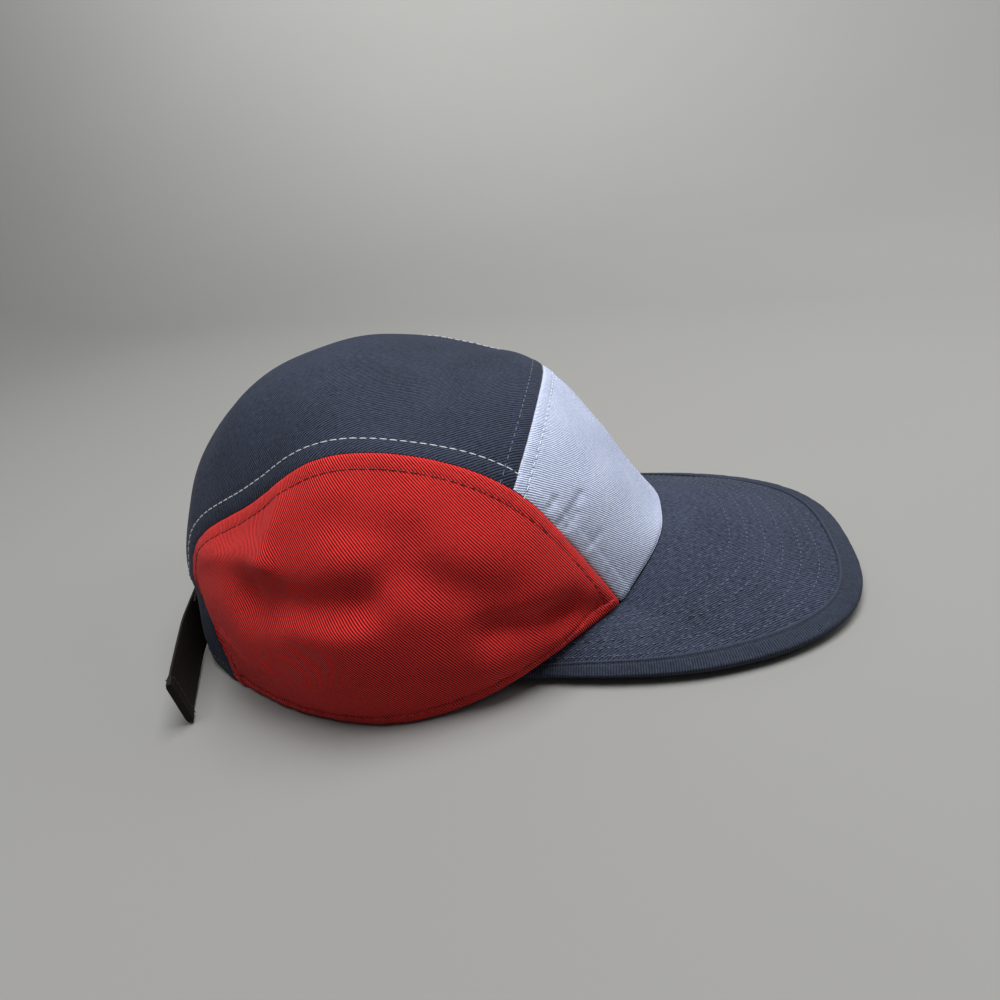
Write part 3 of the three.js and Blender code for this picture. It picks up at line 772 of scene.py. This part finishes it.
# Stitches: small rounded threads laid end to end along a run, flat on the cloth
def stitchTree():
    inputs = {"Float": ("Pitch", "Length", "Width", "Height", "Unevenness"), "Int": ("Seed",),
              "Material": ("Material",)}
    tree, kit, wires = newTree("stitchRow", inputs)
    curve = kit.make("GeometryNodeMeshToCurve", None, {"Mesh": wires["Geometry"]})
    points = kit.make("GeometryNodeResampleCurve", {"mode": "LENGTH"},
                      {"Curve": curve, "Length": wires["Pitch"]})
    tangent = kit.make("GeometryNodeInputTangent")
    facing = kit.make("GeometryNodeInputNamedAttribute", {"data_type": "FLOAT_VECTOR"}, {"Name": "facing"})
    turn = kit.make("FunctionNodeAxesToRotation", {"primary_axis": "X", "secondary_axis": "Z"},
                    {"Primary Axis": tangent, "Secondary Axis": facing})
    ball = kit.make("GeometryNodeMeshUVSphere", None, {"Segments": 8, "Rings": 5, "Radius": 0.5})
    size = kit.joined(wires["Length"], wires["Width"], wires["Height"])
    x, y, z = kit.make("GeometryNodeInputPosition").parts()
    blunt = kit.math("SIGN", x) * (kit.math("ABSOLUTE", x) * 2) ** 0.55 * 0.5
    blunt = kit.joined(blunt, y, z)
    ball = kit.make("GeometryNodeSetPosition", None, {"Geometry": ball, "Position": blunt})
    bead = kit.make("GeometryNodeTransform", None, {"Geometry": ball, "Scale": size})
    jitter = kit.make("FunctionNodeRandomValue", {"data_type": "FLOAT"},
                      {"Min_001": 1.0 - wires["Unevenness"], "Max_001": 1.0, "Seed": wires["Seed"]},
                      "Value_001")
    spread = kit.joined(jitter, 1.0, 1.0)
    rows = kit.make("GeometryNodeInstanceOnPoints", None,
                    {"Points": points, "Instance": bead, "Rotation": turn, "Scale": spread})
    closeTree(tree, kit, rows, wires["Material"])
    return tree


stitchRow = stitchTree()


def sewRuns(name, runs, material, sizes):
    points = np.concatenate([run[0] + 0.1 * run[1] for run in runs])
    facing = np.concatenate([run[1] for run in runs])
    edges, first = [], 0
    for run in runs:
        edges += [(first + k, first + k + 1) for k in range(len(run[0]) - 1)]
        first += len(run[0])
    mesh = bpy.data.meshes.new(name)
    mesh.from_pydata(toScene(points).tolist(), edges, [])
    store = mesh.attributes.new("facing", "FLOAT_VECTOR", "POINT")
    store.data.foreach_set("vector", facing.astype(np.float32).ravel())
    piece = linked(name, mesh)
    values = {label: size * mm for label, size in sizes.items() if label not in ("Unevenness", "Seed")}
    runTree(piece, stitchRow, {**values, "Unevenness": sizes["Unevenness"], "Seed": sizes["Seed"]}, material)
    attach(piece, "root")
    return piece


# Brim: lofted between its root under the crown and its outer edge, with sewn rows pressed into both faces
brim = {"tipX": 169.5, "wideX": 32, "halfWidth": 75.0, "squareness": 2.85, "core": 2.2, "rootGap": 0.5,
        "tipZ": 4.0, "sideZ": 2.7, "bow": 2.4, "endRow": 2.3, "rootInset": 1.6, "endInset": 13,
        "endDrop": 1.2, "endTuck": 4.2, "tuckFrom": 0.65,
        "firstRow": 16.6, "rowPitch": 7.0, "rows": 6, "rowDepth": 0.12, "rowWidth": 0.9,
        "along": 220, "across": 90}
binding = {"width": 9.4, "sideWidth": 13.2, "thickness": 0.7, "gap": 0.7, "lip": 1.7, "bend": 1.9,
           "groove": 0.45, "steps": 300}
brimFold = binding["thickness"] + binding["gap"]


def brimRoot(t):
    t = np.asarray(t, float)
    share = np.abs(t) * 2
    side = np.where(t < 0, -1.0, 1.0)
    past = np.maximum(0, share - 1)
    onStrip = stripPoint(0.0, side * np.minimum(1, share))
    onRim = rimPoint(past * brim["endRow"], side)
    edge = np.where((share <= 1)[..., None], onStrip, onRim)
    inset = brim["rootInset"] + brim["endInset"] * past ** 5
    drop = brim["rootGap"] + 0.5 * brim["core"] + brim["endDrop"] * past ** 5
    inward = unit(np.stack([20 - edge[..., 0], -edge[..., 1], 0 * t], -1))
    moved = edge + inward * inset[..., None]
    moved[..., 2] -= drop
    return moved


def brimEdge(t):
    angle = np.asarray(t, float) * np.pi / 2
    c, s = np.cos(angle), np.sin(angle)
    power = brim["squareness"]
    reach = (np.abs(c) ** power + np.abs(s) ** power) ** (-1 / power)
    x = brim["wideX"] + (brim["tipX"] - brim["wideX"]) * reach * c
    y = brim["halfWidth"] * reach * s - np.sign(s) * brim["endTuck"] * smooth(brim["tuckFrom"], 1, np.abs(t))
    return np.stack([x, y, brim["tipZ"] + (brim["sideZ"] - brim["tipZ"]) * np.abs(s)], -1)


def brimPoint(t, r):
    t, r = np.broadcast_arrays(np.asarray(t, float), np.asarray(r, float))
    root = brimRoot(t)
    point = root + (brimEdge(t) - root) * r[..., None]
    point[..., 2] += 4 * brim["bow"] * r * (1 - r) * (1 - t * t)
    return point


def brimNormal(t, r):
    t, r = np.broadcast_arrays(np.clip(t, -0.99, 0.99), np.asarray(r, float))
    normal = surfaceNormal(brimPoint, t, r)
    return np.where(normal[..., 2:] < 0, -normal, normal)


def brimLength(t):
    return np.linalg.norm(brimEdge(t) - brimRoot(t), axis=-1)


def guideCurve(name, points):
    mesh = bpy.data.meshes.new(name)
    mesh.from_pydata(toScene(points).tolist(), [(k, k + 1) for k in range(len(points) - 1)], [])
    return linked(name, mesh)


def brimTree():
    inputs = {"Object": ("Root", "Edge"), "Int": ("Along", "Across"), "Material": ("Material",),
              "Float": ("Bow", "Thickness", "First row", "Row pitch", "Rows", "Row depth", "Row width")}
    tree, kit, wires = newTree("brimLoft", inputs)
    grid = kit.make("GeometryNodeMeshGrid", None, {"Size X": 1.0, "Size Y": 1.0, "Vertices X": wires["Along"],
                                                   "Vertices Y": wires["Across"]})
    along, across, _ = kit.make("GeometryNodeInputPosition").parts()
    t, r = along + 0.5, across + 0.5

    def lineAt(label):
        shape = kit.make("GeometryNodeObjectInfo", None, {"Object": wires[label]}, "Geometry")
        line = kit.make("GeometryNodeMeshToCurve", None, {"Mesh": shape})
        return kit.make("GeometryNodeSampleCurve", {"mode": "FACTOR"}, {"Curves": line, "Factor": t},
                        "Position")
    root, edge = lineAt("Root"), lineAt("Edge")
    flat = kit.vector("ADD", root, kit.vector("SUBTRACT", edge, root).scaled(r))
    ends = (t * 2 - 1) ** 2
    rise = wires["Bow"] * 4 * r * (1 - r) * (1 - ends)
    place = kit.vector("ADD", flat, kit.joined(0.0, 0.0, rise))
    fromEdge = kit.vector("DISTANCE", place, edge, "Value")
    fromRoot = kit.vector("DISTANCE", place, root, "Value")
    count = (fromEdge - wires["First row"]) / wires["Row pitch"] + 0.5
    offRow = kit.math("ABSOLUTE", kit.math("FRACT", count) - 0.5) * wires["Row pitch"] / wires["Row width"]
    inside = kit.math("GREATER_THAN", count, 0.0) * kit.math("LESS_THAN", count, wires["Rows"])
    press = inside * wires["Row depth"] * kit.math("EXPONENT", 0.0 - offRow * offRow)
    endGap = kit.math("MINIMUM", t, 1.0 - t) * 0.25
    rim = kit.math("MINIMUM", kit.math("MINIMUM", fromEdge, fromRoot), endGap) / 0.0012
    close = kit.math("SQRT", kit.math("MINIMUM", rim, 1.0))
    half = (wires["Thickness"] * 0.5 - press) * close
    x, y, _ = place.parts()
    weave = kit.joined(x * 1000, y * 1000, kit.math("MINIMUM", fromEdge, fromRoot) * 1000)
    named = kit.make("GeometryNodeStoreNamedAttribute", {"data_type": "FLOAT_VECTOR", "domain": "POINT"},
                     {"Geometry": grid, "Name": "weave", "Value": weave})
    named = kit.make("GeometryNodeStoreNamedAttribute", {"data_type": "FLOAT", "domain": "POINT"},
                     {"Geometry": named, "Name": "half", "Value": half})
    sheet = kit.make("GeometryNodeSetPosition", None, {"Geometry": named, "Position": place})
    normal = kit.make("GeometryNodeInputNormal")
    depth = kit.make("GeometryNodeInputNamedAttribute", {"data_type": "FLOAT"}, {"Name": "half"})
    offsets = [normal.scaled(reach) for reach in (depth, 0.0 - depth)]
    over, under = (kit.make("GeometryNodeSetPosition", None, {"Geometry": sheet, "Offset": offset})
                   for offset in offsets)
    under = kit.make("GeometryNodeFlipFaces", None, {"Mesh": under})
    both = kit.make("GeometryNodeJoinGeometry", None, {"Geometry": [over, under]})
    shell = kit.make("GeometryNodeMergeByDistance", None, {"Geometry": both, "Distance": 0.000005})
    closeTree(tree, kit, shell, wires["Material"])
    return tree


def makeBrim():
    t = np.linspace(-1, 1, 401)
    cut = (1 - brimFold / brimLength(t))[:, None]
    root, edge = brimRoot(t), brimEdge(t)
    rootGuide = guideCurve("brimRootGuide", root)
    edgeGuide = guideCurve("brimEdgeGuide", root + (edge - root) * cut)
    piece = linked("brimCloth", bpy.data.meshes.new("brimCloth"))
    sizes = {"Bow": brim["bow"], "Thickness": brim["core"], "First row": brim["firstRow"] - brimFold,
             "Row pitch": brim["rowPitch"], "Row depth": brim["rowDepth"], "Row width": brim["rowWidth"]}
    sizes = {label: size * mm for label, size in sizes.items()}
    sizes.update({"Rows": float(brim["rows"]), "Along": brim["along"], "Across": brim["across"],
                  "Root": rootGuide, "Edge": edgeGuide})
    runTree(piece, brimTree(), sizes, cloths["brimTwill"])
    for guide in (rootGuide, edgeGuide):
        bpy.data.objects.remove(guide)
    dressNode(piece, "brim")
    return piece


brimPiece = makeBrim()
brimSurface = BVHTree.FromPolygons([vertex.co for vertex in brimPiece.data.vertices],
                                   [face.vertices for face in brimPiece.data.polygons])
rowT = np.linspace(-0.985, 0.985, 700)
for row in range(brim["rows"]):
    depth = brim["firstRow"] + row * brim["rowPitch"]
    room = brimLength(rowT)
    keep = room > depth + 3
    share = 1 - depth / room[keep]
    wanted = toScene(brimPoint(rowT[keep], share) + brim["core"] * brimNormal(rowT[keep], share))
    laid = [brimSurface.find_nearest(spot) for spot in wanted]
    points = np.array([hit[0] for hit in laid]) / mm + np.array([middleX, 0.0, 0.0])
    addRun("brimThread", points, np.array([hit[1] for hit in laid]))
print("brim made", len(brimPiece.data.polygons), "faces")


# Binding: tape folded round the outer edge, wider along the sides, with a sewn groove behind its lip
def bindingDepth(t, depth):
    reach = np.abs(t)
    onSide = smooth(0.3, 0.6, reach) - smooth(0.8, 0.95, reach)
    return depth * (1 + (binding["sideWidth"] / binding["width"] - 1) * onSide * depth / binding["width"])


def makeBinding():
    inside = 0.5 * brim["core"] + binding["gap"] - 0.55
    outside = 0.5 * brim["core"] + binding["gap"] + 0.4
    turn = np.radians(np.linspace(90, -90, 15))
    bend = binding["bend"]
    nose = np.stack([bend - bend * np.cos(turn), outside * np.sin(turn)], -1)
    width = binding["width"]
    upper = np.array([(width, inside), (width + 0.05, outside - 0.4), (width - 0.25, outside - 0.05)])
    ramp = np.stack([np.linspace(width - 0.6, bend + 0.4, 22), np.full(22, outside)], -1)
    ramp[:, 1] -= binding["groove"] * hump(ramp[:, 0], width - binding["lip"], 0.5)
    over = np.concatenate([upper, ramp])
    under = over[::-1] * np.array([1, -1])
    core = np.array([(brimFold, -inside), (binding["thickness"], 0), (brimFold, inside)])
    profile = np.concatenate([over, nose, under, core])
    count, steps = len(profile), binding["steps"]
    t = np.repeat(np.linspace(-1, 1, steps)[:, None], count, axis=1)
    r = 1 - bindingDepth(t, profile[None, :, 0]) / brimLength(t)
    edge = brimEdge(t[:, 0])
    run = runLength(edge)
    wobble = 1 + 0.03 * ripple(run, 0.9)[:, None] * (np.abs(profile[None, :, 1]) > inside + 0.1)
    points = brimPoint(t, r) + brimNormal(t, r) * (profile[None, :, 1] * wobble)[..., None]
    ring = np.arange(count)
    nextRing = np.roll(ring, -1)
    strip = np.stack([ring, nextRing, count + nextRing, count + ring], -1)
    faces = [k * count + strip for k in range(steps - 1)]
    around = runLength(profile)
    tangent = unit(np.gradient(edge, axis=0))
    along = run[:, None] + np.einsum("ijk,ik->ij", points - edge[:, None, :], tangent)
    weave = np.stack([along, np.repeat(around[None, :], steps, axis=0),
                      np.repeat(np.minimum(width - profile[None, :, 0], 5.0), steps, axis=0)], -1)
    piece = meshPiece("bindingTape", points.reshape(-1, 3), np.concatenate(faces), weave.reshape(-1, 3),
                      cloths["bindingTape"])
    closeEnds(piece)
    dressNode(piece, "brim_binding")
    fine = np.linspace(-0.99, 0.99, 700)
    share = 1 - bindingDepth(fine, width - binding["lip"]) / brimLength(fine)
    facing = brimNormal(fine, share)
    addRun("bindingThread", brimPoint(fine, share) + (outside - 0.55) * facing, facing)


def closeEnds(piece):  # fill the open ends of a swept piece
    work = bmesh.new()
    work.from_mesh(piece.data)
    loose = [edge for edge in work.edges if edge.is_boundary]
    bmesh.ops.holes_fill(work, edges=loose, sides=0)
    bmesh.ops.recalc_face_normals(work, faces=work.faces)
    work.to_mesh(piece.data)
    work.free()


makeBinding()
print("binding folded round the brim")


# Strap: webbing round the back, through the buckle and out in a hemmed tail
strap = {"width": 20, "thickness": 1.3, "row": 7.74, "lift": 1.5, "turnRadius": 2.3, "end": 0.66,
         "turnAt": 0.056, "leaves": 0.42, "shortEnd": 0.45, "layerGap": 0.4, "hem": 5.2, "hemRow": 4.0}
tailRows = {  # x, y, z, lean of the upper edge in x, layers
    "clearOfCrown": (-103.5, -50, 11.6, -0.06, 1),
    "middle": (-98, -65, 11.1, -0.06, 1),
    "hemStart": (-91.9, -81, 10.6, -0.06, 1),
    "hemFold": (-91.4, -82, 10.6, -0.06, 2),
    "end": (-89.2, -87, 10.6, -0.06, 2),
}


def strapPlaces(w, lift):
    point = stripPoint(strap["row"], w)
    normal = awayFromInside(surfaceNormal(stripPoint, strap["row"], w), point)
    edge = unit(stripPoint(strap["row"] - 0.05, w) - stripPoint(strap["row"] + 0.05, w))
    return point + normal * np.reshape(lift, (-1, 1)), edge, normal


def strapLoop(side, returnTo):
    turnW = side * strap["turnAt"]
    first = strapPlaces(np.linspace(side * strap["end"], turnW, 60), strap["lift"])
    centre, edge, outward = strapPlaces(np.array([turnW]), strap["lift"] + strap["turnRadius"])
    angle = np.linspace(0, np.pi, 17)[1:-1]
    turn = centre - outward * strap["turnRadius"] * np.cos(angle)[:, None]
    turn[:, 1] -= side * strap["turnRadius"] * np.sin(angle)
    settle = smooth(0, 1, np.linspace(0, 1, 50))
    overlap = strap["thickness"] + strap["layerGap"]
    lift = strap["lift"] + 2 * strap["turnRadius"] + settle * (overlap - 2 * strap["turnRadius"])
    last = strapPlaces(np.linspace(turnW, side * returnTo, 50), lift)
    points = np.concatenate([first[0], turn, last[0]])
    edges = np.concatenate([first[1], np.repeat(edge, len(turn), axis=0), last[1]])
    return points, edges


def webbingPiece(name, node, points, edges, layers):
    step = runLength(points)
    run = np.linspace(0, step[-1], int(step[-1] / 0.8))
    centre, edge = resampled(run, step, points), resampled(run, step, edges)
    layer = np.interp(run, step, layers)
    along = unit(np.gradient(centre, axis=0))
    edge = unit(edge - along * np.sum(edge * along, -1, keepdims=True))
    face = unit(np.cross(along, edge))
    across = np.linspace(-0.5, 0.5, 25) * strap["width"]
    crownEdge = 1 - 0.35 * smooth(0.42, 0.5, np.abs(across) / strap["width"])
    half = 0.5 * strap["thickness"] * layer[:, None] * crownEdge[None, :]
    middle = centre[:, None, :] + edge[:, None, :] * across[None, :, None]
    outer = middle + face[:, None, :] * half[..., None]
    inner = middle - face[:, None, :] * half[..., None]
    rim = strap["width"] * 0.5 - np.abs(across)
    weave = np.stack(np.broadcast_arrays(run[:, None], across[None, :], rim[None, :]), -1)
    piece = sheetMesh(name, outer, inner, weave, webbing)
    dressNode(piece, node)
    return centre, edge, face, run


def smoothPath(points, window):  # even out the corners of a path given as listed points
    step = runLength(points[:, :3])
    path = resampled(np.linspace(0, step[-1], int(step[-1] / 0.5) + 2), step, points)
    pad = window // 2
    head = 2 * path[0] - path[1:pad + 1][::-1]
    tail = 2 * path[-1] - path[-pad - 1:-1][::-1]
    long = np.concatenate([head, path, tail])
    weights = np.ones(2 * pad + 1) / (2 * pad + 1)
    return np.stack([np.convolve(long[:, k], weights, "valid") for k in range(path.shape[1])], -1)


def makeStraps():
    points, edges = strapLoop(-1, strap["leaves"])
    tail = np.array(list(tailRows.values()), float)
    tailEdges = unit(np.stack([tail[:, 3], 0 * tail[:, 3], np.ones(len(tail))], -1))
    join = np.concatenate([np.concatenate([points[-6:], tail[:, :3]]),
                           np.concatenate([edges[-6:], tailEdges])], axis=1)
    path = smoothPath(join, 17)
    points = np.concatenate([points[:-6], path[:, :3]])
    edges = np.concatenate([edges[:-6], path[:, 3:]])
    toEnd = runLength(points)
    layers = 1 + smooth(0, 0.6, toEnd - (toEnd[-1] - strap["hem"]))
    centre, edge, face, run = webbingPiece("strapWebbing", "strap", points, edges, layers)
    near = int(np.argmin(np.abs(run - (run[-1] - strap["hemRow"]))))
    across = np.linspace(-0.44, 0.44, 40)[:, None] * strap["width"]
    for way in (1, -1):
        line = centre[near] + edge[near] * across + way * face[near] * (strap["thickness"] + 0.05)
        addRun("blackThread", line, np.repeat(way * face[near][None, :], 40, axis=0))
    points, edges = strapLoop(1, strap["shortEnd"])
    webbingPiece("strapShortWebbing", "strap_short", points, edges, np.ones(len(points)))


makeStraps()
print("strap laid")


# Buckle: a plain flat ring with softened edges
buckle = {"bar": 2.0, "window": 9.0, "clear": 0.6, "thickness": 2.2, "bevel": 0.45}


def makeBuckle():
    halfY = 0.5 * buckle["window"] + buckle["bar"]
    halfZ = 0.5 * strap["width"] + buckle["clear"] + buckle["bar"]
    inner = (halfY - buckle["bar"], halfZ - buckle["bar"])
    corners = [(-1, -1), (1, -1), (1, 1), (-1, 1)]
    middle = strapPlaces(np.array([0.0]), strap["lift"] + strap["turnRadius"])
    centre, edge, outward = (item[0] for item in middle)
    across = np.cross(edge, outward)
    points = []
    for depth in (0.5 * buckle["thickness"], -0.5 * buckle["thickness"]):
        for reachY, reachZ in ((halfY, halfZ), inner):
            points += [centre + across * reachY * a + edge * reachZ * b + outward * depth for a, b in corners]
    faces = []
    for k in range(4):
        n = (k + 1) % 4
        faces += [(k, n, 4 + n, 4 + k), (8 + n, 8 + k, 12 + k, 12 + n), (n, k, 8 + k, 8 + n),
                  (4 + k, 4 + n, 12 + n, 12 + k)]
    piece = meshPiece("buckleRing", np.array(points), np.array(faces), None, plastic, 30)
    closeEnds(piece)
    soften = piece.modifiers.new("soften", "BEVEL")
    soften.width = buckle["bevel"] * mm
    soften.segments = 3
    dressNode(piece, "strap_buckle")


makeBuckle()
print("buckle made")


# Sewing: every run of thread collected above
for thread, runs in stitchRuns.items():
    _, slot, *sizes = threadRows[thread]
    sewn = sewRuns(thread + "Stitches", runs, threads[thread], dict(zip(stitchColumns, sizes)))
    print("sewn", thread, len(runs), "runs", len(sewn.data.polygons), "faces")


# Stage: a pale round floor that curves up into a wall
def makeStage():
    bend = np.radians(np.linspace(0, 90, 25))
    radius = np.concatenate([stageSetup["floorRadius"] + stageSetup["curve"] * np.sin(bend),
                             [stageSetup["floorRadius"] + stageSetup["curve"]]])
    height = np.concatenate([stageSetup["curve"] * (1 - np.cos(bend)), [stageSetup["rise"]]])
    around = np.linspace(0, 2 * np.pi, stageSetup["turns"], endpoint=False)
    points = [(0.0, 0.0, -stageSetup["drop"])]
    for r, z in zip(radius, height):
        points += [(r * math.cos(a), r * math.sin(a), z - stageSetup["drop"]) for a in around]
    count = len(around)
    faces = [(0, 1 + k, 1 + (k + 1) % count) for k in range(count)]
    for ring in range(len(radius) - 1):
        first, second = 1 + ring * count, 1 + (ring + 1) * count
        faces += [(first + k, second + k, second + (k + 1) % count, first + (k + 1) % count)
                  for k in range(count)]
    mesh = bpy.data.meshes.new("roundFloor")
    mesh.from_pydata(points, [], faces)
    mesh.polygons.foreach_set("use_smooth", np.ones(len(faces), bool))
    mesh.materials.append(floorMaterial("paleFloor", stageSetup["floorColour"]))
    linked("roundFloor", mesh)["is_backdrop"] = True


makeStage()
sizes = {"cad": [list(corner) for corner in cadBox], "visual": [list(corner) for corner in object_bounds()]}
print("visual box", sizes["visual"])
